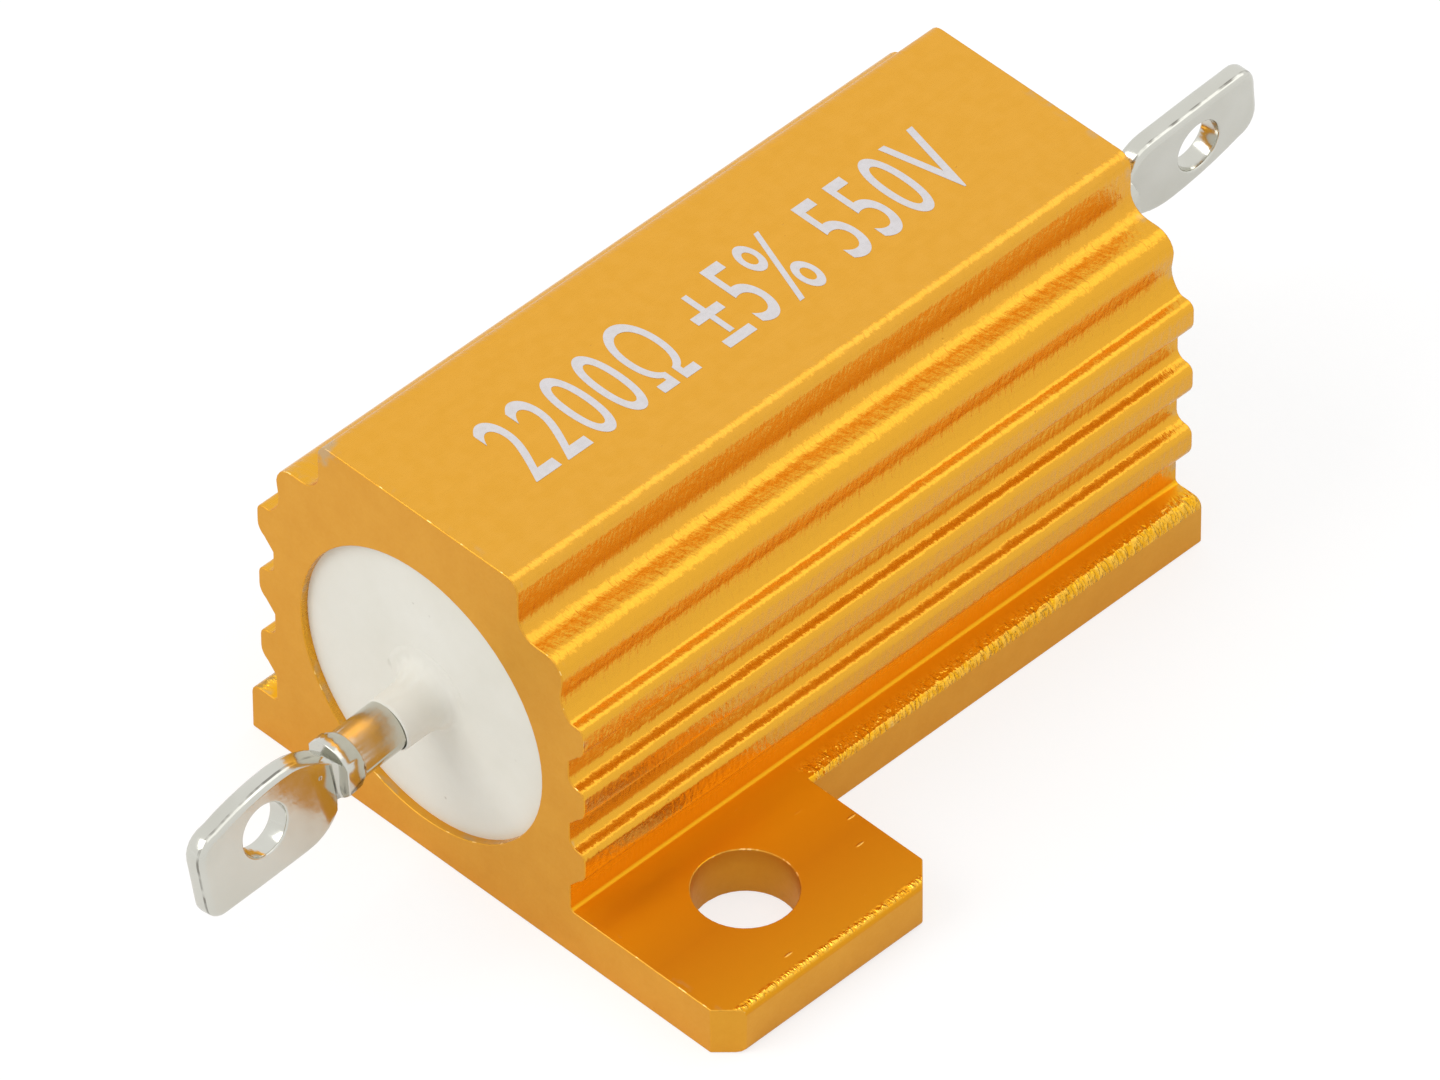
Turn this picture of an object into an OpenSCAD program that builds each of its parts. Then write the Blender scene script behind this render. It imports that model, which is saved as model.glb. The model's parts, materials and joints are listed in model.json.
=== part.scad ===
// Aluminium housed power resistor.
// A ribbed aluminium extrusion with two diagonal mounting feet holds a wire wound
// ceramic core, potted in white cement, with a tinned solder lug at each end.
// +X runs along the bore, +Z is up, and z = 0 is the face that is bolted down.

/* [Housing] */
// Length of the sawn extrusion, along the bore
body_l = 27.5; // [27:0.5:29]
// Height of the flat top over the mounting face
body_h = 14.85; // [14.45:0.05:16]
// Width of the flat top, over its rounded corners
top_w = 9; // [8:0.1:10]
// Diameter of the bore
bore_d = 10.9; // [10:0.1:11]
// Height of the bore's axis over the mounting face
bore_z = 6.8; // [6.6:0.05:7]

/* [Cooling ribs] */
// Width over the noses of the ribs
rib_w = 14.74; // [14.4:0.02:15]
// Width between the floors of the grooves
groove_w = 13.36; // [13:0.02:13.6]
// Number of ribs on each side, below the shoulder
rib_count = 3; // [1:1:3]
// Height from one rib to the next
rib_pitch = 2.76; // [2.6:0.02:2.8]
// Thickness of a rib
rib_t = 1.4; // [1.2:0.05:1.6]
// Height of the top side of the highest rib
rib_top_z = 10.3; // [10.15:0.05:10.5]

/* [Mounting feet] */
// Width over both feet
foot_span = 27.5; // [26:0.5:30]
// Thickness of the feet
foot_t = 1.9; // [1.5:0.05:2]
// Length of a foot, along the bore
foot_l = 9.5; // [9:0.5:11]
// Size of the cut corners of a foot
foot_corner = 0.8; // [0.2:0.1:1.5]
// Width over the flanges that are left beside the feet
flange_w = 15.7; // [15.2:0.1:16.4]
// Diameter of the mounting holes
hole_d = 3.5; // [3:0.1:4]
// Distance between the holes along the bore
hole_dx = 18.3; // [17:0.1:19]
// Distance between the holes across the bore
hole_dy = 19.8; // [19.4:0.1:20.6]

/* [Cement] */
// Depth of the cement's end faces inside the housing
cement_recess = 0.3; // [0.1:0.1:0.8]
// Diameter of the cement skin on a shank
skin_d = 1.95; // [1.9:0.05:2.2]
// Length of the collar that the cement draws up a shank
collar_l = 1.8; // [1.2:0.05:2.4]

/* [Wound core] */
// Diameter of the ceramic core
core_d = 5.6; // [5:0.1:6]
// Length of the ceramic core
core_l = 19; // [16:0.5:20]
// Thickness of an end cap's wall
cap_wall = 0.35; // [0.3:0.05:0.5]
// Thickness of an end cap's end
cap_end = 0.5; // [0.4:0.1:0.8]
// Length of the core that an end cap covers
cap_grip = 2.7; // [2:0.1:3.5]
// Number of turns of resistance wire
wire_turns = 12; // [6:1:14]

/* [Terminals] */
// Diameter of a round shank
shank_d = 1.8; // [1.5:0.05:1.8]
// Thickness of a flattened lug
lug_t = 0.85; // [0.7:0.05:1.1]
// Length of a flattened lug, from the step on its shank to its tip
lug_l = 5.95; // [5.6:0.05:6.5]
// Diameter of the eye in a lug
eye_d = 1.9; // [1.4:0.1:2.2]
// Distance from the eye's centre to the tip
eye_inset = 2.75; // [2.5:0.05:3]
// Width of the front lug
front_lug_w = 3.7; // [3:0.05:4.2]
// Reach of the front terminal, from its end cap to its tip
front_reach = 13.75; // [13:0.05:15]
// Angle at which the front terminal hangs, in degrees
front_lean = 3.3; // [0:0.1:5]
// How far the front lug sits below the axis of its shank
front_offset = 0.25; // [0:0.05:0.3]
// Width of the rear lug
rear_lug_w = 3.15; // [3:0.05:4.2]
// Reach of the rear terminal, from its end cap to its tip
rear_reach = 13.95; // [13:0.05:15]
// Angle at which the rear terminal rises, in degrees
rear_lean = 4.5; // [0:0.1:5]
// How far the rear lug sits above the axis of its shank
rear_offset = 0.05; // [0:0.05:0.3]

/* [Hidden] */
$fn = 64;
front = -1;
rear = 1;
past = 1; // how far a cutting shape runs past what it cuts

// Section of the extrusion, seen along the bore
top_half = top_w / 2;
top_r = 0.5;
shoulder_half = 6.45;
shoulder_z = 12.62;
shoulder_r = 0.75;
shoulder_end = -14; // where its arc meets the waist
scoop_r = 0.75;
waist_half = 6.36;
waist_r = 1.2;
waist_turn = 45; // how far the waist turns outwards above the highest rib
waist_root_r = 0.25;
rib_half = rib_w / 2;
rib_tip_r = 0.3; // less where a narrow rib leaves no room
rib_under_r = 0.6;
rib_under_turn = 60;
rib_heel = 0.35;
groove_half = groove_w / 2;
groove_r = 0.35;
foot_half = foot_span / 2;
foot_root_r = 0.15;
foot_edge_r = 0.25;

// Potting
fill_l = body_l - 2 * cement_recess;
collar_root_r = 0.85;
skin_end_r = 0.1;

// Wound core
core_r = core_d / 2;
cap_r = core_r + cap_wall;
cap_x = core_l / 2 + cap_end; // outer face of an end cap
wire_r = cap_wall / 2;
wire_sides = 6;
wire_steps = 26; // flat stretches in one turn
wire_run = core_l - 2 * cap_grip - 2 * wire_r;
wire_rings = wire_turns * wire_steps;

// Terminals, each along its own +X, from the face of its end cap
shank_r = shank_d / 2;
weld_r = 1.5;
weld_t = 0.5;
shank_start = 0.15;
swage_r = 1.06;
swage_l = 0.8;
swage_flare = 0.3;
neck_half = 0.9;
full_taper = 0.06; // on the side to which the lug is offset
full_tip_r = 0.6;
spare_taper = 0.4; // on the other side
spare_tip_r = 0.9;
spare_round_r = 3;

function arc(centre, r, from, to, steps = 6) =
    [for (i = [0 : steps]) let (a = from + (to - from) * i / steps) centre + r * [cos(a), sin(a)]];

// One rib, from its root, where the wall above it has already turned outwards by some degrees,
// to the floor of the groove below
function rib(z, wall_half, root_r, turned) =
    let (
        root_x = wall_half + root_r * cos(turned),
        tip_r = min(rib_tip_r, rib_half - root_x)
    )
    concat(
        arc([root_x, z + root_r], root_r, 180 + turned, 270, 4),
        arc([rib_half - tip_r, z - tip_r], tip_r, 90, 0, 4),
        arc([rib_half - rib_under_r, z - rib_t + rib_under_r], rib_under_r, 0, -rib_under_turn, 4),
        [[groove_half, z - rib_t - rib_heel]]
    );

// Right half of the section, from the middle of the top down to the mounting face
waist_foot = waist_half + waist_r * (1 - cos(waist_turn));
waist_z = rib_top_z + waist_root_r * (1 - sin(waist_turn)) + waist_r * sin(waist_turn);
half_section = concat(
    [[0, body_h]],
    arc([top_half - top_r, body_h - top_r], top_r, 90, 0),
    arc([top_half + scoop_r, shoulder_z + scoop_r], scoop_r, 180, 270),
    arc([shoulder_half - shoulder_r, shoulder_z - shoulder_r], shoulder_r, 90, shoulder_end),
    arc([waist_half + waist_r, waist_z], waist_r, 180, 180 + waist_turn),
    rib(rib_top_z, waist_foot, waist_root_r, waist_turn),
    [for (i = [1 : 1 : rib_count - 1]) each rib(rib_top_z - i * rib_pitch, groove_half, groove_r, 0)],
    arc([groove_half + foot_root_r, foot_t + foot_root_r], foot_root_r, 180, 270, 3),
    arc([foot_half - foot_edge_r, foot_t - foot_edge_r], foot_edge_r, 90, 0, 3),
    arc([foot_half - foot_edge_r, foot_edge_r], foot_edge_r, 0, -90, 3)
);
section = concat(half_section, [for (i = [len(half_section) - 1 : -1 : 1])
    [-half_section[i][0], half_section[i][1]]]);

// Half of the outline that milling leaves, seen from above: one foot, then a narrow flange
half_plan = [
    [-body_l / 2, foot_corner - foot_half],
    [foot_corner - body_l / 2, -foot_half],
    [foot_l - foot_corner - body_l / 2, -foot_half],
    [foot_l - body_l / 2, foot_corner - foot_half],
    [foot_l - body_l / 2, -flange_w / 2],
    [body_l / 2, -flange_w / 2]
];
plan = concat(half_plan, -1 * half_plan);

// One edge of a flattened lug, seen from the side: a round shoulder that starts where the
// lug leaves its step, a side that tapers to the tip, and a rounded corner
function lug_edge(reach, half, round_r, taper, tip_r) =
    let (
        rise = asin(1 - (half - neck_half) / round_r),
        round_x = reach - lug_l + round_r * cos(rise),
        side_l = reach - tip_r - round_x
    )
    concat(
        arc([round_x, half - round_r], round_r, 180 - rise, 90),
        [for (i = [1 : 5]) [round_x + side_l * i / 5, half - taper * i * i / 25]],
        arc([reach - tip_r, half - taper - tip_r], tip_r, 75, 0, 5)
    );

function lug_outline(reach, half) =
    let (spare = lug_edge(reach, half, spare_round_r, spare_taper, spare_tip_r))
    concat(
        lug_edge(reach, half, half, full_taper, full_tip_r),
        [for (i = [len(spare) - 1 : -1 : 0]) [spare[i][0], -spare[i][1]]]
    );

// Turns its children, made along +Z, to lie along +X on the bore's axis
module on_axis() {
    translate([0, 0, bore_z]) rotate([0, 90, 0]) children();
}

// Sets its children, made along +X, on the outer face of one end cap. The front end is the
// rear end turned half a turn
module at_cap(end, lean) {
    translate([end * cap_x, 0, bore_z])
        rotate([0, (end == front ? 180 : 0) - lean, 0]) children();
}

module housing() {
    color("goldenrod") difference() {
        intersection() {
            rotate([90, 0, 90]) linear_extrude(body_l, center = true) polygon(section);
            linear_extrude(body_h + past) polygon(plan);
        }
        on_axis() cylinder(d = bore_d, h = body_l + 2 * past, center = true);
        for (side = [-1, 1]) translate([side * hole_dx / 2, side * hole_dy / 2, -past])
            cylinder(d = hole_d, h = foot_t + 2 * past);
    }
}

// The bead of weld that seats a terminal on its cap
module weld_bead() {
    rotate([0, 90, 0]) cylinder(r = weld_r, h = weld_t);
}

module shank(reach) {
    translate([shank_start, 0, 0]) rotate([0, 90, 0])
        cylinder(r = shank_r, h = reach - lug_l - shank_start);
}

// Upset end of the shank, pressed flat on both sides, which ends in a square step
module swage(reach) {
    translate([reach - lug_l, 0, 0]) intersection() {
        rotate([0, -90, 0]) union() {
            cylinder(r = swage_r, h = swage_l - swage_flare);
            translate([0, 0, swage_l - swage_flare])
                cylinder(r1 = swage_r, r2 = shank_r, h = swage_flare);
        }
        translate([-swage_l, -shank_r, -swage_r]) cube([swage_l, shank_d, 2 * swage_r]);
    }
}

// The lug reaches back into the swage, so that the two are one piece
module lug(reach, width, offset) {
    difference() {
        union() {
            translate([0, lug_t / 2, offset]) rotate([90, 0, 0])
                linear_extrude(lug_t) polygon(lug_outline(reach, width / 2));
            translate([reach - lug_l - swage_l / 2, -lug_t / 2, offset - neck_half])
                cube([swage_l, lug_t, 2 * neck_half - offset]);
        }
        translate([reach - eye_inset, 0, 0]) rotate([90, 0, 0])
            cylinder(d = eye_d, h = lug_t + 2 * past, center = true);
    }
}

module terminal(end, lean, reach, width, offset) {
    color("silver") union() {
        at_cap(end, 0) weld_bead();
        at_cap(end, lean) {
            shank(reach);
            swage(reach);
            lug(reach, width, offset);
        }
    }
}

// The cement's meniscus: a flared root that thins to a skin on the shank
module collar() {
    face = fill_l / 2 - cap_x;
    skin_r = skin_d / 2;
    rotate([0, 90, 0]) rotate_extrude() polygon(concat(
        [[0, face - past], [skin_r + collar_root_r, face - past]],
        arc([skin_r + collar_root_r, face + collar_root_r], collar_root_r, 270, 180),
        arc([skin_r - skin_end_r, face + collar_l - skin_end_r], skin_end_r, 0, 90, 3),
        [[0, face + collar_l]]
    ));
}

module cement_fill() {
    color("ivory") difference() {
        union() {
            on_axis() cylinder(d = bore_d, h = fill_l, center = true);
            at_cap(front, front_lean) collar();
            at_cap(rear, rear_lean) collar();
        }
        on_axis() cylinder(r = cap_r, h = 2 * cap_x, center = true);
        at_cap(front, 0) weld_bead();
        at_cap(rear, 0) weld_bead();
        at_cap(front, front_lean) shank(front_reach);
        at_cap(rear, rear_lean) shank(rear_reach);
    }
}

module ceramic_core() {
    color("white") on_axis() cylinder(r = core_r, h = core_l, center = true);
}

// Pressed cup that grips one end of the core
module end_cap(end) {
    color("lightsteelblue") at_cap(end, 0) rotate([0, -90, 0]) difference() {
        cylinder(r = cap_r, h = cap_end + cap_grip);
        translate([0, 0, cap_end]) cylinder(r = core_r, h = cap_grip + past);
    }
}

// One ring of points round the wire, a fraction t of the way along the winding
function wire_ring(t) =
    let (turn = 360 * wire_turns * t, radial = [0, cos(turn), sin(turn)])
    [for (side = [0 : wire_sides - 1]) let (a = 360 / wire_sides * (side + 0.5))
        [wire_run * (t - 0.5), 0, bore_z]
        + (core_r + wire_r + wire_r * cos(a)) * radial + [wire_r * sin(a), 0, 0]];

module resistance_winding() {
    last = wire_rings * wire_sides;
    color("dimgray") polyhedron(
        points = [for (i = [0 : wire_rings]) each wire_ring(i / wire_rings)],
        faces = concat(
            [[for (side = [0 : wire_sides - 1]) side]],
            [for (i = [0 : wire_rings - 1], side = [0 : wire_sides - 1])
                let (next = (side + 1) % wire_sides, here = i * wire_sides, there = here + wire_sides)
                [here + side, there + side, there + next, here + next]],
            [[for (side = [wire_sides - 1 : -1 : 0]) last + side]]
        ),
        convexity = 10
    );
}

housing();
cement_fill();
ceramic_core();
resistance_winding();
end_cap(front);  // end_cap_front
end_cap(rear);  // end_cap_rear
terminal(front, front_lean, front_reach, front_lug_w, front_offset);  // terminal_front
terminal(rear, rear_lean, rear_reach, rear_lug_w, rear_offset);  // terminal_rear
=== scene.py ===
import json
import math

import bpy
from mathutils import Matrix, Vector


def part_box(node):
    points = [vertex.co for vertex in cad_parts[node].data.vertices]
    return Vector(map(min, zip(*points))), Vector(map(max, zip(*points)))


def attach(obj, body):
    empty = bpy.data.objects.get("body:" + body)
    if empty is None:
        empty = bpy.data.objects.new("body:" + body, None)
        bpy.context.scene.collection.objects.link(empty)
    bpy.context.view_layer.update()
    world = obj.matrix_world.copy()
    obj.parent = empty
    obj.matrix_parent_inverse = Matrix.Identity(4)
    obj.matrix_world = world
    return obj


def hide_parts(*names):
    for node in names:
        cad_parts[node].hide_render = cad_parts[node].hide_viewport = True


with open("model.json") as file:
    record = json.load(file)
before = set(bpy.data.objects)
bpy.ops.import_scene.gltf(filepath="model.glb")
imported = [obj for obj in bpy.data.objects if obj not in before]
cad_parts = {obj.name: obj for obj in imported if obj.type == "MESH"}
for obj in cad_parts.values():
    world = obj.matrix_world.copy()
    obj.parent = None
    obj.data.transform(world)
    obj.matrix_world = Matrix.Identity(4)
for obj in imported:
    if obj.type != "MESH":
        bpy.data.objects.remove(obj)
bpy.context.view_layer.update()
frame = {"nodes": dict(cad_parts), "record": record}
mm = 0.001
print("frame loaded:", ", ".join(sorted(frame["nodes"])))


def clearSelection():
    bpy.ops.object.select_all(action="DESELECT")
    bpy.context.view_layer.objects.active = None


def pickOnly(piece):
    clearSelection()
    piece.select_set(True)
    bpy.context.view_layer.objects.active = piece


def applyAll(piece):
    pickOnly(piece)
    for modifier in list(piece.modifiers):
        bpy.ops.object.modifier_apply(modifier=modifier.name)


def closeTo(value, target, within=0.01 * mm):
    return abs(value - target) < within


copying = {
    "join": 0.002 * mm,  # corners closer than this become one
    "flat": 0.5,  # degrees between triangles that make up one flat face
}


def copyOfNode(nodeName, pieceName):
    # a free copy of a CAD node, with its loose triangles joined into whole faces
    node = frame["nodes"][nodeName]
    piece = node.copy()
    piece.data = node.data.copy()
    piece.name = pieceName
    piece.data.name = pieceName
    piece.parent = None
    # it carries none of the marks of a CAD node
    for key in list(piece.keys()):
        del piece[key]
    bpy.context.scene.collection.objects.link(piece)
    pickOnly(piece)
    bpy.ops.object.mode_set(mode="EDIT")
    bpy.ops.mesh.select_all(action="SELECT")
    bpy.ops.mesh.remove_doubles(threshold=copying["join"])
    bpy.ops.mesh.dissolve_limited(angle_limit=math.radians(copying["flat"]))
    bpy.ops.object.mode_set(mode="OBJECT")
    return piece


def smoothFaces(piece, angle):
    # round faces shade smooth, and the flat ones stay flat up to their edges
    pickOnly(piece)
    bpy.ops.object.shade_smooth_by_angle(angle=math.radians(angle))
    weighted = piece.modifiers.new("flatFaces", "WEIGHTED_NORMAL")
    weighted.keep_sharp = True
    applyAll(piece)


def softenEdges(piece, width, segments, angle):
    bevel = piece.modifiers.new("softEdges", "BEVEL")
    bevel.width = width
    bevel.segments = segments
    bevel.limit_method = "ANGLE"
    bevel.angle_limit = math.radians(angle)
    applyAll(piece)


def setMaterials(piece, *materials):
    piece.data.materials.clear()
    for material in materials:
        piece.data.materials.append(material)


def finishPiece(piece, slotName, *nodeNames):
    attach(piece, "root")
    if nodeNames:
        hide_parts(*nodeNames)
    print(piece.name + ":", len(piece.data.polygons), "faces")


# small helpers that put a material's nodes together

mostOfNoise = (0.3, 0.7)  # nearly all of a noise lies between these
dotCore = 0.4  # share of a dot's radius that is fully covered


def newMaterial(name, settings):
    material = bpy.data.materials.new(name)
    material.use_nodes = True
    tree = material.node_tree
    shader = tree.nodes["Principled BSDF"]
    for socket, value in settings.items():
        shader.inputs[socket].default_value = value
    coordinates = tree.nodes.new("ShaderNodeTexCoord")
    return material, tree, shader, coordinates.outputs["Object"]


def stretched(tree, vector, scale):
    mapping = tree.nodes.new("ShaderNodeMapping")
    mapping.inputs["Scale"].default_value = scale
    tree.links.new(vector, mapping.inputs["Vector"])
    return mapping.outputs["Vector"]


def along(tree, place, axis):
    split = tree.nodes.new("ShaderNodeSeparateXYZ")
    tree.links.new(place, split.inputs[0])
    return split.outputs[axis]


def remap(tree, value, low, high, toLow=0.0, toHigh=1.0):
    node = tree.nodes.new("ShaderNodeMapRange")
    for socket, number in (("From Min", low), ("From Max", high),
                           ("To Min", toLow), ("To Max", toHigh)):
        node.inputs[socket].default_value = number
    tree.links.new(value, node.inputs["Value"])
    return node.outputs["Result"]


def combine(tree, operation, first, second):
    node = tree.nodes.new("ShaderNodeMath")
    node.operation = operation
    for index, source in enumerate((first, second)):
        if isinstance(source, float):
            node.inputs[index].default_value = source
        else:
            tree.links.new(source, node.inputs[index])
    return node.outputs[0]


def times(tree, first, second):
    return combine(tree, "MULTIPLY", first, second)


def distanceAlong(tree, place, axis):
    # distance from the middle of the body, along one axis
    return combine(tree, "ABSOLUTE", along(tree, place, axis), 0.0)


def noise(tree, vector, size, detail=2.0, roughness=0.5):
    node = tree.nodes.new("ShaderNodeTexNoise")
    node.inputs["Scale"].default_value = 1 / size
    node.inputs["Detail"].default_value = detail
    node.inputs["Roughness"].default_value = roughness
    tree.links.new(vector, node.inputs["Vector"])
    return node.outputs["Fac"]


def centred(tree, pattern):
    # about 0, so that a mask laid over it makes no step of its own
    return combine(tree, "SUBTRACT", pattern, 0.5)


def dots(tree, vector, spacing, radius, kind):
    # 1 in the middle of a dot, falling to 0 at its rim
    node = tree.nodes.new("ShaderNodeTexVoronoi")
    node.voronoi_dimensions = kind
    node.inputs["Scale"].default_value = 1 / spacing
    tree.links.new(vector, node.inputs["Vector"])
    return remap(tree, node.outputs["Distance"],
                 dotCore * radius / spacing, radius / spacing, 1.0, 0.0)


def sparseDots(tree, place, spacing, radius, patch, patchEdges, stretch=None, kind="3D"):
    # dots that show only inside some cloudy patches
    vector = stretched(tree, place, stretch) if stretch else place
    patches = remap(tree, noise(tree, place, patch, detail=1.0), *patchEdges)
    return times(tree, dots(tree, vector, spacing, radius, kind), patches)


def blendColours(tree, factor, first, second):
    node = tree.nodes.new("ShaderNodeMix")
    node.data_type = "RGBA"
    tree.links.new(factor, node.inputs["Factor"])
    for name, source in (("A", first), ("B", second)):
        socket = [s for s in node.inputs if s.name == name and s.type == "RGBA"][0]
        if isinstance(source, tuple):
            socket.default_value = (*source, 1.0)
        else:
            tree.links.new(source, socket)
    return [s for s in node.outputs if s.type == "RGBA"][0]


def bump(tree, height, strengthAndDepth, under=None):
    strength, depth = strengthAndDepth
    node = tree.nodes.new("ShaderNodeBump")
    node.inputs["Strength"].default_value = strength
    node.inputs["Distance"].default_value = depth
    tree.links.new(height, node.inputs["Height"])
    if under is not None:
        tree.links.new(under, node.inputs["Normal"])
    return node.outputs["Normal"]


goldSkin = {
    "colour": (0.80, 0.40, 0.050),
    "tone": (0.78, 0.385, 0.043),
    "toneSize": 0.5 * mm,
    "toneEdges": (0.35, 0.65),  # of the noise, where one tone turns into the other
    "ribPaintedReflection": (0.80, 0.40, 0.036),  # the ribs are painted deeper, more saturated gold, standing for the orange reflections that they show
    "ribStart": (4.2 * mm, 5.2 * mm),
    # the feet are painted darker and more saturated, standing for the body's reflection in them
    "footPaintedReflection": (0.71, 0.305, 0.013),
    "footRootPaintedReflection": (0.88, 0.43, 0.014),  # painted lighter beside the body, standing for the body's reflection against the shade there
    "rootReach": (8.2 * mm, 10.5 * mm),
    "roughness": (0.24, 0.32),
    "footRoughness": 0.42,
    "footTop": (2.0 * mm, 2.6 * mm),  # below this the skin is smooth

    # etch marks, which run across the ribs, and die lines, which run along them
    "grain": 0.20 * mm,  # width of an etch mark
    "grainStretch": (1.0, 0.40, 0.40),
    "grainBump": (0.7, 0.075 * mm),  # strength and depth
    "grainStart": (3.75 * mm, 4.05 * mm),  # the grain is full outside this
    "plateauGrain": 0.16,  # share of the grain that the flat top has
    "footGrain": 0.03,  # share of it that the feet have
    "dieLine": 0.10 * mm,
    "dieStretch": (0.04, 1.0, 1.0),
    "dieBump": (0.3, 0.008 * mm),

    # the mill's marks, beside the cut of a flange and in a line along the edge of a foot, brighter
    # in colour as painted glints
    "millStart": (7.05 * mm, 7.5 * mm),
    "footRim": (13.40 * mm, 13.50 * mm),
    "footRimEnd": (13.62 * mm, 13.70 * mm),
    "footStart": 7.6 * mm * 4.0 * mm,  # X times Y, where the side of a foot meets the flange
    "footFade": 1.05,  # times that, where the foot's skin is whole again
    "millMark": 0.15 * mm,
    "millStretch": (1.0, 0.35, 0.35),
    "millEdges": (0.42, 0.56),
    # painted glints: brighter gold on the mill's marks
    "millPaintedGlint": (0.95, 0.52, 0.055),
    "millRoughness": -0.2,  # added to that of the foot
    "millBump": (1.0, 0.19 * mm),

    "pits": {"spacing": 0.9 * mm, "radius": 0.05 * mm, "patch": 1.7 * mm, "patchEdges": (0.5, 0.6)},
    "pitColour": (0.46, 0.20, 0.02),
    "pitShare": 0.6,
    "pitBump": (0.5, -0.02 * mm),

    # short light scuffs on the feet
    "scuffs": {"spacing": 2.2 * mm, "radius": 0.09 * mm, "patch": 2.3 * mm,
               "patchEdges": (0.5, 0.56), "stretch": (0.45, 1.6, 1.0), "kind": "2D"},
    "scuffColour": (0.98, 0.66, 0.20),
    "scuffShare": 0.7,
    "scuffBump": (0.8, 0.03 * mm),
}


goldWear = {
    "colour": (0.50, 0.41, 0.28),
    "share": 0.6,
    "end": 0.35 * mm,  # reach of the worn patches from the sawn ends
    "patch": 0.7 * mm,
    "patchEdges": (0.54, 0.66),
    "corner": (-13.75 * mm, 4.35 * mm, 14.7 * mm),
    "radius": 0.9 * mm,
    "core": 0.54 * mm,  # fully worn inside this
    "ragged": 0.45 * mm,  # how far the rim wanders, and the size of its bays
}


def oliveGreyCorner(tree, place):
    # 1 at the olive-grey corner, falling to 0 at a ragged rim
    node = tree.nodes.new("ShaderNodeVectorMath")
    node.operation = "DISTANCE"
    tree.links.new(place, node.inputs[0])
    node.inputs[1].default_value = goldWear["corner"]
    ragged = goldWear["ragged"]
    wander = remap(tree, noise(tree, place, ragged), *mostOfNoise, 0.0, ragged)
    distance = combine(tree, "ADD", node.outputs["Value"], wander)
    return remap(tree, distance, goldWear["core"], goldWear["radius"], 1.0, 0.0)


def wornEnds(tree, place):
    # patches along the sawn ends, where the burr was taken off
    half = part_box("housing")[1].x
    nearEnd = remap(tree, distanceAlong(tree, place, "X"), half - goldWear["end"], half)
    patches = remap(tree, noise(tree, place, goldWear["patch"]), *goldWear["patchEdges"])
    return times(tree, nearEnd, patches)


def wearColour(tree, place, metal, elsewhere=None):
    # the gold turns olive-grey at one corner of the body, and is worn away where a mask says so
    worn = oliveGreyCorner(tree, place)
    if elsewhere is not None:
        worn = combine(tree, "MAXIMUM", worn, elsewhere)
    return blendColours(tree, times(tree, worn, goldWear["share"]), metal, goldWear["colour"])


def toneAndPaintedReflection(tree, place, across, onFoot):
    # the gold of the flat top with its random tone, and of the ribs and the feet, painted deeper
    # and lighter as reflections
    cloud = noise(tree, place, goldSkin["toneSize"], detail=3.0)
    top = blendColours(tree, remap(tree, cloud, *goldSkin["toneEdges"]),
                       goldSkin["colour"], goldSkin["tone"])
    foot = blendColours(tree, remap(tree, across, *goldSkin["rootReach"]),
                        goldSkin["footRootPaintedReflection"], goldSkin["footPaintedReflection"])
    sides = blendColours(tree, onFoot, goldSkin["ribPaintedReflection"], foot)
    return blendColours(tree, remap(tree, across, *goldSkin["ribStart"]), top, sides)


def whereMilled(tree, place, across, onFoot):
    # 1 beside the cut of a flange, and in a line along the edge of a foot
    corner = times(tree, along(tree, place, "X"), along(tree, place, "Y"))
    footStart = goldSkin["footStart"]
    onFlange = remap(tree, corner, footStart, goldSkin["footFade"] * footStart, 1.0, 0.0)
    besideCut = times(tree, remap(tree, across, *goldSkin["millStart"]), onFlange)
    alongEdge = times(tree, remap(tree, across, *goldSkin["footRim"]),
                      remap(tree, across, *goldSkin["footRimEnd"], 1.0, 0.0))
    return times(tree, combine(tree, "MAXIMUM", besideCut, alongEdge), onFoot)


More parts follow.
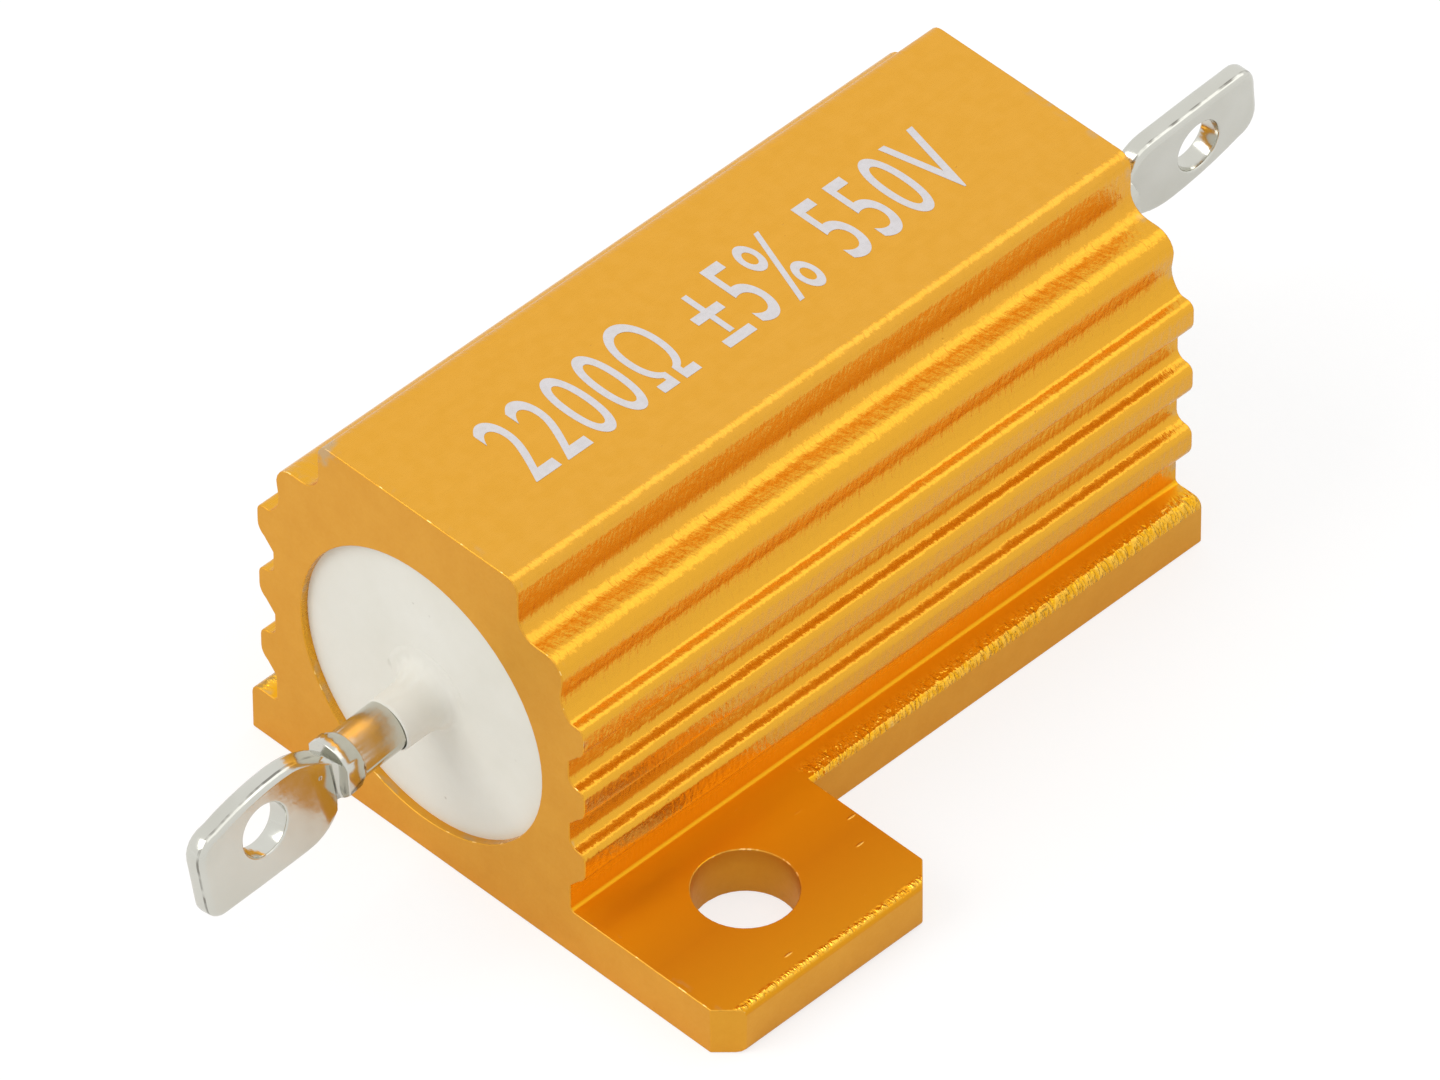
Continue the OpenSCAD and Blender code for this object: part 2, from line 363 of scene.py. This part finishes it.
def makeGoldSkin():
    # etched and anodised skin of the extrusion
    material, tree, shader, place = newMaterial("goldAnodisedSkin", {"Metallic": 1.0})
    height, across = distanceAlong(tree, place, "Z"), distanceAlong(tree, place, "Y")
    onFoot = remap(tree, height, *goldSkin["footTop"], 1.0, 0.0)
    milled = whereMilled(tree, place, across, onFoot)
    comb = noise(tree, stretched(tree, place, goldSkin["millStretch"]),
                 goldSkin["millMark"], roughness=0.6)
    lines = noise(tree, stretched(tree, place, goldSkin["dieStretch"]), goldSkin["dieLine"])
    pits = sparseDots(tree, place, **goldSkin["pits"])
    scuffs = times(tree, sparseDots(tree, place, **goldSkin["scuffs"]), onFoot)

    metal = toneAndPaintedReflection(tree, place, across, onFoot)
    metal = blendColours(tree, times(tree, pits, goldSkin["pitShare"]),
                         metal, goldSkin["pitColour"])
    metal = blendColours(tree, times(tree, scuffs, goldSkin["scuffShare"]),
                         metal, goldSkin["scuffColour"])
    # the mill's marks are painted brighter here, as glints
    paintedGlint = times(tree, remap(tree, comb, *goldSkin["millEdges"]), milled)
    metal = blendColours(tree, paintedGlint, metal, goldSkin["millPaintedGlint"])
    tree.links.new(wearColour(tree, place, metal, wornEnds(tree, place)),
                   shader.inputs["Base Color"])

    above = times(tree, remap(tree, lines, *mostOfNoise, *goldSkin["roughness"]),
                  combine(tree, "SUBTRACT", 1.0, onFoot))
    below = combine(tree, "ADD", times(tree, onFoot, goldSkin["footRoughness"]),
                    times(tree, milled, goldSkin["millRoughness"]))
    tree.links.new(combine(tree, "ADD", above, below), shader.inputs["Roughness"])

    etched = times(tree, remap(tree, height, *goldSkin["footTop"], goldSkin["footGrain"], 1.0),
                   remap(tree, across, *goldSkin["grainStart"], goldSkin["plateauGrain"], 1.0))
    grain = noise(tree, stretched(tree, place, goldSkin["grainStretch"]),
                  goldSkin["grain"], roughness=0.6)
    relief = bump(tree, times(tree, lines, etched), goldSkin["dieBump"])
    relief = bump(tree, times(tree, centred(tree, grain), etched), goldSkin["grainBump"], relief)
    relief = bump(tree, times(tree, centred(tree, comb), milled), goldSkin["millBump"], relief)
    relief = bump(tree, scuffs, goldSkin["scuffBump"], relief)
    relief = bump(tree, pits, goldSkin["pitBump"], relief)
    tree.links.new(relief, shader.inputs["Normal"])
    return material


goldCut = {
    "colour": (0.745, 0.365, 0.038),
    "tone": (0.72, 0.342, 0.032),
    "toneSize": 1.1 * mm,
    "toneEdges": (0.35, 0.65),
    "grain": 0.14 * mm,
    "grainBump": (0.4, 0.008 * mm),
    "roughness": (0.42, 0.5),
}


def makeGoldCut():
    # faces that the saw or the mill has cut
    material, tree, shader, place = newMaterial("goldAnodisedCut", {"Metallic": 1.0})
    cloud = noise(tree, place, goldCut["toneSize"], detail=3.0, roughness=0.6)
    metal = blendColours(tree, remap(tree, cloud, *goldCut["toneEdges"]),
                         goldCut["colour"], goldCut["tone"])
    tree.links.new(wearColour(tree, place, metal), shader.inputs["Base Color"])
    grain = noise(tree, place, goldCut["grain"], detail=3.0, roughness=0.6)
    tree.links.new(remap(tree, grain, *mostOfNoise, *goldCut["roughness"]),
                   shader.inputs["Roughness"])
    tree.links.new(bump(tree, grain, goldCut["grainBump"]), shader.inputs["Normal"])
    return material


goldEdge = {
    "colour": (0.72, 0.36, 0.042),
    "spot": 0.4 * mm,
    # painted glints in spots along the edges
    "paintedGlint": (1.0, 0.68, 0.24),
    "brightEdges": (0.60, 0.67),
    "dull": (0.60, 0.29, 0.04),
    "dullEdges": (0.44, 0.3),
    "dent": 0.16 * mm,
    "dentBump": (0.8, 0.02 * mm),
    "roughness": 0.5,
}


def makeGoldEdge():
    # thin rubbed edges, with painted glints in bright spots
    material, tree, shader, place = newMaterial("goldAnodisedEdge", {
        "Metallic": 1.0, "Roughness": goldEdge["roughness"]})
    spots = noise(tree, place, goldEdge["spot"], roughness=0.6)
    metal = blendColours(tree, remap(tree, spots, *goldEdge["dullEdges"]),
                         goldEdge["colour"], goldEdge["dull"])
    metal = blendColours(tree, remap(tree, spots, *goldEdge["brightEdges"]),
                         metal, goldEdge["paintedGlint"])
    tree.links.new(wearColour(tree, place, metal), shader.inputs["Base Color"])
    tree.links.new(bump(tree, noise(tree, place, goldEdge["dent"]), goldEdge["dentBump"]),
                   shader.inputs["Normal"])
    return material


whiteCement = {
    "colour": (0.775, 0.757, 0.685),
    "tone": (0.735, 0.715, 0.635),
    "toneSize": 3.0 * mm,
    "toneEdges": (0.35, 0.7),
    "specks": {"spacing": 1.1 * mm, "radius": 0.07 * mm,
               "patch": 1.3 * mm, "patchEdges": (0.54, 0.62)},
    "speckColour": (0.50, 0.47, 0.41),
    "speckShare": 0.6,
    "speckBump": (0.4, -0.03 * mm),
    "swell": 1.3 * mm,
    "swellBump": (0.4, 0.06 * mm),
    "grain": 0.09 * mm,
    "grainBump": (0.3, 0.008 * mm),
    "shader": {"Roughness": 0.6, "Specular IOR Level": 0.3},
}


def makeCement():
    material, tree, shader, place = newMaterial("whiteCement", whiteCement["shader"])
    cloud = noise(tree, place, whiteCement["toneSize"], detail=5.0, roughness=0.6)
    body = blendColours(tree, remap(tree, cloud, *whiteCement["toneEdges"]),
                        whiteCement["colour"], whiteCement["tone"])
    specks = sparseDots(tree, place, **whiteCement["specks"])
    tree.links.new(blendColours(tree, times(tree, specks, whiteCement["speckShare"]),
                                body, whiteCement["speckColour"]), shader.inputs["Base Color"])
    relief = bump(tree, noise(tree, place, whiteCement["swell"]), whiteCement["swellBump"])
    relief = bump(tree, noise(tree, place, whiteCement["grain"], detail=3.0),
                  whiteCement["grainBump"], relief)
    relief = bump(tree, specks, whiteCement["speckBump"], relief)
    tree.links.new(relief, shader.inputs["Normal"])
    return material


tinned = {
    "colour": (0.655, 0.652, 0.597),
    "tone": (0.60, 0.595, 0.535),
    "toneSize": 2.2 * mm,
    "spots": {"spacing": 1.5 * mm, "radius": 0.09 * mm,
              "patch": 1.9 * mm, "patchEdges": (0.5, 0.58)},
    "spotColour": (0.34, 0.30, 0.24),
    "spotShare": 0.8,
    "spotBump": (0.5, -0.03 * mm),
    "paintedEdgeShade": (0.20, 0.19, 0.165),  # a thin dark line painted round a lug, standing for the shade on its rounded edges
    "edgeShadeShare": 0.85,
    "edgeShadePatch": 0.8 * mm,
    "edgeShadeEdges": (0.42, 0.56),
    "smear": 0.5 * mm,
    "roughness": (0.11, 0.19),
    "swell": 1.4 * mm,
    "swellBump": (0.35, 0.06 * mm),
    "grain": 0.2 * mm,
    "grainBump": (0.2, 0.008 * mm),
}


def makeTinned(name, edgeShadeShare):
    material, tree, shader, place = newMaterial(name, {"Metallic": 1.0})
    cloud = noise(tree, place, tinned["toneSize"], detail=3.0)
    metal = blendColours(tree, remap(tree, cloud, *mostOfNoise), tinned["colour"], tinned["tone"])
    spots = sparseDots(tree, place, **tinned["spots"])
    metal = blendColours(tree, times(tree, spots, tinned["spotShare"]),
                         metal, tinned["spotColour"])
    # a broken thin dark line of painted shade along the rounded edges of a lug
    if edgeShadeShare:
        broken = remap(tree, noise(tree, place, tinned["edgeShadePatch"]),
                       *tinned["edgeShadeEdges"], 0.0, edgeShadeShare)
        metal = blendColours(tree, broken, metal, tinned["paintedEdgeShade"])
    tree.links.new(metal, shader.inputs["Base Color"])
    smears = noise(tree, place, tinned["smear"], detail=3.0)
    tree.links.new(remap(tree, smears, *mostOfNoise, *tinned["roughness"]),
                   shader.inputs["Roughness"])
    relief = bump(tree, noise(tree, place, tinned["swell"], detail=1.0), tinned["swellBump"])
    relief = bump(tree, noise(tree, place, tinned["grain"]), tinned["grainBump"], relief)
    relief = bump(tree, spots, tinned["spotBump"], relief)
    tree.links.new(relief, shader.inputs["Normal"])
    return material


goldSkinMaterial = makeGoldSkin()
goldCutMaterial = makeGoldCut()
goldEdgeMaterial = makeGoldEdge()
cementMaterial = makeCement()
tinnedMaterial = makeTinned("tinnedCopper", 0.0)
tinnedEdgeShadeMaterial = makeTinned("tinnedCopperEdgeShade", tinned["edgeShadeShare"])
print("materials made")


housing = {
    "edge": 0.045 * mm,
    "edgeSegments": 2,
    "edgeAngle": 38.0,
    "flatAngle": 34.0,
    "rolled": 0.35 * mm,  # rounding that the mill leaves on a flange
    "rolledSegments": 4,
    "flangeCut": 7.9 * mm,  # the milled side of a flange lies inside this
    "footRim": 0.26 * mm,  # how far the upper edge of a foot reaches in from its end
    "footTop": 2.0 * mm,  # sides below this
    "bodySide": 7.2 * mm,  # and outside this belong to the feet and flanges
    "holeMargin": 0.1 * mm,
    "thinStrip": 0.06 * mm,  # edge faces narrower than this are rubbed and get painted glints
    "square": 0.9,  # a face is square to X or Z if more of its normal lies along that
    "rubbedUp": 0.25,  # a thin edge face is rubbed and painted with glints if more of its normal points up
    "rubbedAlong": 0.1,  # and more of it along the bore
    "roundedUp": 0.1,  # a rounded rim keeps the skin if more of its normal points up
    "roundedAlong": 0.5,  # and less of it along the bore
}


def stripWidth(mesh, face):
    # a long face's width: its area over half its outline
    corners = [mesh.vertices[i].co for i in face.vertices]
    outline = sum((corners[i] - corners[i - 1]).length for i in range(len(corners)))
    return 2 * face.area / outline if outline else 0.0


def rollFlanges(shell):
    # the long upper edge of each flange is rolled over by the mill
    mesh = shell.data
    flangeSide = min(abs(v.co.y) for v in mesh.vertices if closeTo(v.co.z, 0))
    top = max(v.co.z for v in mesh.vertices if closeTo(abs(v.co.y), flangeSide))
    pickOnly(shell)
    bpy.ops.object.mode_set(mode="EDIT")
    bpy.ops.mesh.select_mode(type="EDGE")
    bpy.ops.mesh.select_all(action="DESELECT")
    bpy.ops.object.mode_set(mode="OBJECT")
    for edge in mesh.edges:
        ends = [mesh.vertices[i].co for i in edge.vertices]
        edge.select = all(closeTo(abs(end.y), flangeSide) and closeTo(end.z, top) for end in ends)
    bpy.ops.object.mode_set(mode="EDIT")
    bpy.ops.mesh.bevel(offset=housing["rolled"], segments=housing["rolledSegments"],
                       clamp_overlap=False)
    bpy.ops.object.mode_set(mode="OBJECT")
    print("flanges rolled at", round(flangeSide / mm, 2), round(top / mm, 2))


def sortHousingFaces(mesh):
    # skin, cut faces and rubbed edges with painted glints are told apart by where they are and
    # where they look
    skin, cut, rubbedAndGlinting = 0, 1, 2
    holes = [mount for mount in frame["record"]["mounts"] if mount["kind"] == "bolt_pattern"][0]
    holeRadius = holes["dims"]["hole_r_mm"] * mm + housing["holeMargin"]
    holeReach = holes["dims"]["pcd_mm"] * mm / 2
    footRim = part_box("housing")[1].y - housing["footRim"]
    for face in mesh.polygons:
        middle, across = face.center, abs(face.center.y)
        up, endwise = face.normal.z, abs(face.normal.x)
        upright = abs(up) < housing["square"]
        sawn = endwise > housing["square"]
        fromHole = abs(math.hypot(middle.x, middle.y) - holeReach)
        inHole = upright and fromHole < holeRadius and middle.x * middle.y > 0
        milled = upright and middle.z < housing["footTop"] and across > housing["bodySide"]
        atRim = across > footRim or across < housing["flangeCut"]
        rounded = atRim and up > housing["roundedUp"] and endwise < housing["roundedAlong"]
        thin = stripWidth(mesh, face) < housing["thinStrip"] and not sawn
        onEdge = up > housing["rubbedUp"] and (endwise > housing["rubbedAlong"] or inHole)
        if thin and onEdge:
            face.material_index = rubbedAndGlinting
        elif sawn or inHole or (milled and not rounded):
            face.material_index = cut
        else:
            face.material_index = skin


def dressHousing():
    shell = copyOfNode("housing", "housingShell")
    rollFlanges(shell)
    setMaterials(shell, goldSkinMaterial, goldCutMaterial, goldEdgeMaterial)
    softenEdges(shell, housing["edge"], housing["edgeSegments"], housing["edgeAngle"])
    smoothFaces(shell, housing["flatAngle"])
    sortHousingFaces(shell.data)
    finishPiece(shell, "anodised_aluminium", "housing")


dressHousing()


cement = {
    "rim": 0.05 * mm,
    "rimSegments": 2,
    "rimAngle": 40.0,
    "flatAngle": 35.0,
    "besideCollar": 4 * mm,  # outside this the end is flat
    "runOut": 0.5 * mm,  # height over which the foot of a collar runs out
    "runOutPower": 2.5,
}


def dressCement():
    filling = copyOfNode("cement_fill", "cementFilling")
    # the foot of a leaning collar stands proud of the flat cement on one side: here it runs out
    corners = [vertex.co for vertex in filling.data.vertices]
    flat = max(abs(corner.x) for corner in corners if abs(corner.y) > cement["besideCollar"])
    for corner in corners:
        proud = (abs(corner.x) - flat) / cement["runOut"]
        if 0 < proud < 1:
            height = cement["runOut"] * proud ** cement["runOutPower"]
            corner.x = math.copysign(flat + height, corner.x)
    setMaterials(filling, cementMaterial)
    softenEdges(filling, cement["rim"], cement["rimSegments"], cement["rimAngle"])
    smoothFaces(filling, cement["flatAngle"])
    finishPiece(filling, "white_cement", "cement_fill")


dressCement()


terminals = {
    "round": 0.24 * mm,  # rounding of a lug's outer edges
    "eyeRound": 0.3,  # share of it at the rims of the eye
    "stepRound": 0.15,  # share of it at the pressed step
    "segments": 4,
    "sharp": 50.0,  # degrees, from which an edge is rounded
    "flatAngle": 38.0,
    "flatFacing": 0.99,  # share of a normal along Y, on the flat sides of a lug
    "lugMargin": 0.02 * mm,
    "eyeMargin": 0.05 * mm,
    "edgeShadeReach": 3.0 * mm,  # the painted edge shade ends this far from the eye
    "edgeShadeMargin": 0.2 * mm,
    "edgeShadeFacing": (-0.32, -0.1),  # it lies on rounded faces with this share of their normal on Y
    "lugReach": 3.1 * mm,  # from the eye to the neck that the lug turns on
    "twist": {"terminal_front": 8.0, "terminal_rear": 0.0},  # degrees, about the shank
}


def twistLug(piece, angle, eye):
    # the pressed lug stands a little turned on its shank
    if not angle:
        return
    for vertex in piece.data.vertices:
        vertex.select = abs(vertex.co.x) > abs(eye[0]) - terminals["lugReach"]
    pickOnly(piece)
    bpy.ops.object.mode_set(mode="EDIT")
    bpy.ops.mesh.select_mode(type="VERT")
    bpy.ops.transform.rotate(value=math.radians(angle), orient_axis="X", center_override=eye)
    bpy.ops.object.mode_set(mode="OBJECT")


def edgeRounding(mesh, edge, faces, lug):
    # share of the rounding that an edge gets, by the form that it belongs to
    if len(faces) != 2:
        return 0.0
    one, other = faces
    if one.normal.angle(other.normal) < math.radians(terminals["sharp"]):
        return 0.0
    first, second = (mesh.vertices[i].co for i in edge.vertices)
    middle = (first + second) / 2
    convex = (other.center - one.center).dot(one.normal) < 0
    onLug = any(abs(face.normal.y) > terminals["flatFacing"]
                and closeTo(abs(face.center.y), lug["half"], terminals["lugMargin"])
                for face in faces)
    fromEye = math.hypot(middle.x - lug["eyeX"], middle.z - lug["eyeZ"])
    if onLug and fromEye < lug["eyeReach"]:
        return terminals["eyeRound"]
    if onLug and convex:
        return 1.0
    if convex and abs(middle.x) > lug["cementEnd"]:
        return terminals["stepRound"]
    return 0.0


def dressTerminal(nodeName, pieceName, eyeName):
    piece = copyOfNode(nodeName, pieceName)
    mesh = piece.data
    mount = [mount for mount in frame["record"]["mounts"] if mount["name"] == eyeName][0]
    eyeX, eyeY, eyeZ = mount["pos_m"]
    lug = {
        "eyeX": eyeX,
        "eyeZ": eyeZ,
        "eyeReach": mount["dims"]["r_mm"] * mm + terminals["eyeMargin"],
        "half": mount["dims"]["length_mm"] * mm / 2,
        "cementEnd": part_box("cement_fill")[1].x,
    }
    facesOfEdge = {}
    for face in mesh.polygons:
        for key in face.edge_keys:
            facesOfEdge.setdefault(key, []).append(face)
    weights = mesh.attributes.new("bevel_weight_edge", "FLOAT", "EDGE")
    for edge in mesh.edges:
        faces = facesOfEdge.get(tuple(sorted(edge.vertices)), [])
        weights.data[edge.index].value = edgeRounding(mesh, edge, faces, lug)
    bevel = piece.modifiers.new("roundEdges", "BEVEL")
    bevel.width = terminals["round"]
    bevel.segments = terminals["segments"]
    bevel.limit_method = "WEIGHT"
    bevel.use_clamp_overlap = False
    applyAll(piece)
    smoothFaces(piece, terminals["flatAngle"])
    setMaterials(piece, tinnedMaterial, tinnedEdgeShadeMaterial)
    # rounded faces turned this way get the painted edge shade
    low, high = terminals["edgeShadeFacing"]
    for face in mesh.polygons:
        fromEye = math.hypot(face.center.x - eyeX, face.center.z - eyeZ)
        onLug = abs(face.center.x) > abs(eyeX) - terminals["edgeShadeReach"]
        onSide = onLug and fromEye > lug["eyeReach"] + terminals["edgeShadeMargin"]
        face.material_index = 1 if onSide and low < face.normal.y < high else 0
    twistLug(piece, terminals["twist"][nodeName], (eyeX, eyeY, eyeZ))
    finishPiece(piece, "tinned_copper", nodeName)


dressTerminal("terminal_front", "terminalFrontTinned", "lug_eye_front")
dressTerminal("terminal_rear", "terminalRearTinned", "lug_eye_rear")


# the inner pieces keep their CAD shape, and get two cloudy tones and a grain
inner = {
    "coreCeramic": {
        "nodes": ["ceramic_core"],
        "colour": (0.86, 0.85, 0.82),
        "tone": (0.80, 0.78, 0.74),
        "toneSize": 1.2 * mm,
        "shader": {"Roughness": 0.5},
    },
    "resistanceWire": {
        "nodes": ["resistance_winding"],
        "colour": (0.33, 0.32, 0.31),
        "tone": (0.25, 0.22, 0.20),
        "toneSize": 0.5 * mm,
        "shader": {"Roughness": 0.4, "Metallic": 1.0},
    },
    "capSteel": {
        "nodes": ["end_cap_front", "end_cap_rear"],
        "colour": (0.55, 0.55, 0.54),
        "tone": (0.48, 0.47, 0.45),
        "toneSize": 0.8 * mm,
        "shader": {"Roughness": 0.35, "Metallic": 1.0},
    },
}
innerGrain = 0.25  # share of the size of the clouds
innerBump = (0.2, 0.01 * mm)


def colourInner(name, look):
    material, tree, shader, place = newMaterial(name, look["shader"])
    cloud = noise(tree, place, look["toneSize"], detail=3.0)
    tree.links.new(blendColours(tree, remap(tree, cloud, *mostOfNoise),
                                look["colour"], look["tone"]), shader.inputs["Base Color"])
    grain = noise(tree, place, innerGrain * look["toneSize"])
    tree.links.new(bump(tree, grain, innerBump), shader.inputs["Normal"])
    for nodeName in look["nodes"]:
        setMaterials(frame["nodes"][nodeName], material)


for name, look in inner.items():
    colourInner(name, look)
print("inner pieces coloured")


rating = {
    "words": "2200Ω ±5% 550V",
    "height": 3.2 * mm,  # of a digit
    "digit": 0.7,  # height of a digit as a share of the size of the type
    "length": 19.9 * mm,  # of the whole line
    "middle": -0.15 * mm,
    "spacing": 1.12,
    "stroke": 0.003,  # added round each stroke, as a share of the size of the type
    "thickness": 0.012 * mm,
    "colour": (0.69, 0.66, 0.67),
    "tone": (0.64, 0.61, 0.61),
    "toneSize": 0.17 * mm,
    "grain": 0.1 * mm,
    "grainBump": (0.3, 0.006 * mm),
    "shader": {"Roughness": 0.5, "Specular IOR Level": 0.3},
}


def makeInk():
    material, tree, shader, place = newMaterial("greyInk", rating["shader"])
    thin = remap(tree, noise(tree, place, rating["toneSize"]), *mostOfNoise)
    tree.links.new(blendColours(tree, thin, rating["colour"], rating["tone"]),
                   shader.inputs["Base Color"])
    tree.links.new(bump(tree, noise(tree, place, rating["grain"]), rating["grainBump"]),
                   shader.inputs["Normal"])
    return material


def printRating():
    # pad printed in grey ink on the flat top
    clearSelection()
    bpy.ops.object.text_add(location=(0, 0, 0))
    words = bpy.context.object
    words.name = "ratingPrint"
    text = words.data
    text.body = rating["words"]
    text.align_x = "CENTER"
    text.align_y = "CENTER"
    text.size = rating["height"] / rating["digit"]
    text.offset = rating["stroke"] * text.size
    text.extrude = rating["thickness"]
    text.space_character = rating["spacing"]
    bpy.ops.object.convert(target="MESH")
    corners = [vertex.co for vertex in words.data.vertices]
    lowX, highX = min(c.x for c in corners), max(c.x for c in corners)
    lowY, highY = min(c.y for c in corners), max(c.y for c in corners)
    stretchX = rating["length"] / (highX - lowX)
    words.scale = (stretchX, 1, 1)
    words.location = (rating["middle"] - stretchX * (lowX + highX) / 2,
                      -(lowY + highY) / 2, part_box("housing")[1].z)
    bpy.ops.object.transform_apply(location=True, rotation=True, scale=True)
    setMaterials(words, makeInk())
    finishPiece(words, "anodised_aluminium")


printRating()


stage = {
    "floorSize": 3.0,
    "floorDepth": 0.02 * mm,  # the floor lies this far under the feet, clear of their faces
    "floor": 0.92,  # how much light the floor really sends back
    "shadow": 0.35,  # how much of a shadow shows through its white
    "glow": 0.715,
    "inMetal": 0.3,  # share of the glow that metal shows
    "white": 1.0,  # the world, as the camera and metal see it
    "surroundings": 0.70,  # the light that it really gives
}


def seenAsWhite(tree, shown, other, inMetal):
    # camera and transmission rays take the first shader, glossy rays a share of it,
    # and all others the second
    path = tree.nodes.new("ShaderNodeLightPath")
    glossy = times(tree, path.outputs["Is Glossy Ray"], inMetal)
    first = combine(tree, "MAXIMUM", path.outputs["Is Camera Ray"], glossy)
    seen = combine(tree, "MAXIMUM", first, path.outputs["Is Transmission Ray"])
    mix = tree.nodes.new("ShaderNodeMixShader")
    tree.links.new(seen, mix.inputs[0])
    tree.links.new(other, mix.inputs[1])
    tree.links.new(shown, mix.inputs[2])
    return mix.outputs[0]


def matteOf(tree, grey):
    matte = tree.nodes.new("ShaderNodeBsdfDiffuse")
    matte.inputs["Color"].default_value = (grey, grey, grey, 1)
    return matte.outputs[0]


def makeFloor():
    clearSelection()
    bpy.ops.mesh.primitive_plane_add(size=stage["floorSize"],
                                     location=(0, 0, -stage["floorDepth"]))
    floor = bpy.context.object
    floor.name = "floor"
    material = bpy.data.materials.new("whiteFloor")
    material.use_nodes = True
    tree = material.node_tree
    tree.nodes.clear()
    output = tree.nodes.new("ShaderNodeOutputMaterial")
    glow = tree.nodes.new("ShaderNodeEmission")
    glow.inputs["Strength"].default_value = stage["glow"]
    both = tree.nodes.new("ShaderNodeAddShader")
    tree.links.new(glow.outputs[0], both.inputs[0])
    tree.links.new(matteOf(tree, stage["shadow"] * stage["floor"]), both.inputs[1])
    seen = seenAsWhite(tree, both.outputs[0], matteOf(tree, stage["floor"]), stage["inMetal"])
    tree.links.new(seen, output.inputs["Surface"])
    setMaterials(floor, material)


def lightOf(tree, strength):
    background = tree.nodes.new("ShaderNodeBackground")
    background.inputs["Color"].default_value = (1, 1, 1, 1)
    background.inputs["Strength"].default_value = strength
    return background.outputs[0]


def makeWorld():
    world = bpy.data.worlds.new("studio")
    bpy.context.scene.world = world
    world.use_nodes = True
    tree = world.node_tree
    tree.nodes.clear()
    output = tree.nodes.new("ShaderNodeOutputWorld")
    white, soft = lightOf(tree, stage["white"]), lightOf(tree, stage["surroundings"])
    tree.links.new(seenAsWhite(tree, white, soft, inMetal=1.0), output.inputs["Surface"])


lamps = {
    # name: (place, length and width, power)
    "endLamp": ((-0.46, 0.26, 0.50), (0.45, 0.45), 1.9),
    "sideLamp": ((0.377, -0.12, 0.64), (0.60, 0.48), 0.56),
    "topLamp": ((-0.05, -0.10, 0.75), (0.5, 0.5), 0.35),
}


def makeLamp(name, place, size, power):
    clearSelection()
    bpy.ops.object.light_add(type="AREA", location=place)
    lamp = bpy.context.object
    lamp.name = name
    lamp.data.shape = "RECTANGLE"
    lamp.data.size, lamp.data.size_y = size
    lamp.data.energy = power
    # its underside looks at the part, and its first side lies along X
    up, side = math.hypot(place[1], place[2]), math.atan2(place[1], place[2])
    lamp.rotation_mode = "YXZ"
    lamp.rotation_euler = (-side, math.atan2(place[0], up), 0)


camera = {
    "place": (-0.319305, -0.322854, 0.447015),
    "turn": (45.7174, 0.2713, -44.9126),  # degrees
    "lens": 494.5,  # mm, on a sensor 36 mm wide
    "sensor": 36.0,
}


def makeCamera():
    clearSelection()
    turn = [math.radians(angle) for angle in camera["turn"]]
    bpy.ops.object.camera_add(location=camera["place"], rotation=turn)
    view = bpy.context.object
    view.name = "studioCamera"
    view.data.lens = camera["lens"]
    view.data.sensor_width = camera["sensor"]
    bpy.context.scene.camera = view


makeFloor()
makeWorld()
for name, (place, size, power) in lamps.items():
    makeLamp(name, place, size, power)
makeCamera()
bpy.context.scene.view_settings.view_transform = "Standard"
print("floor, lamps and camera placed")
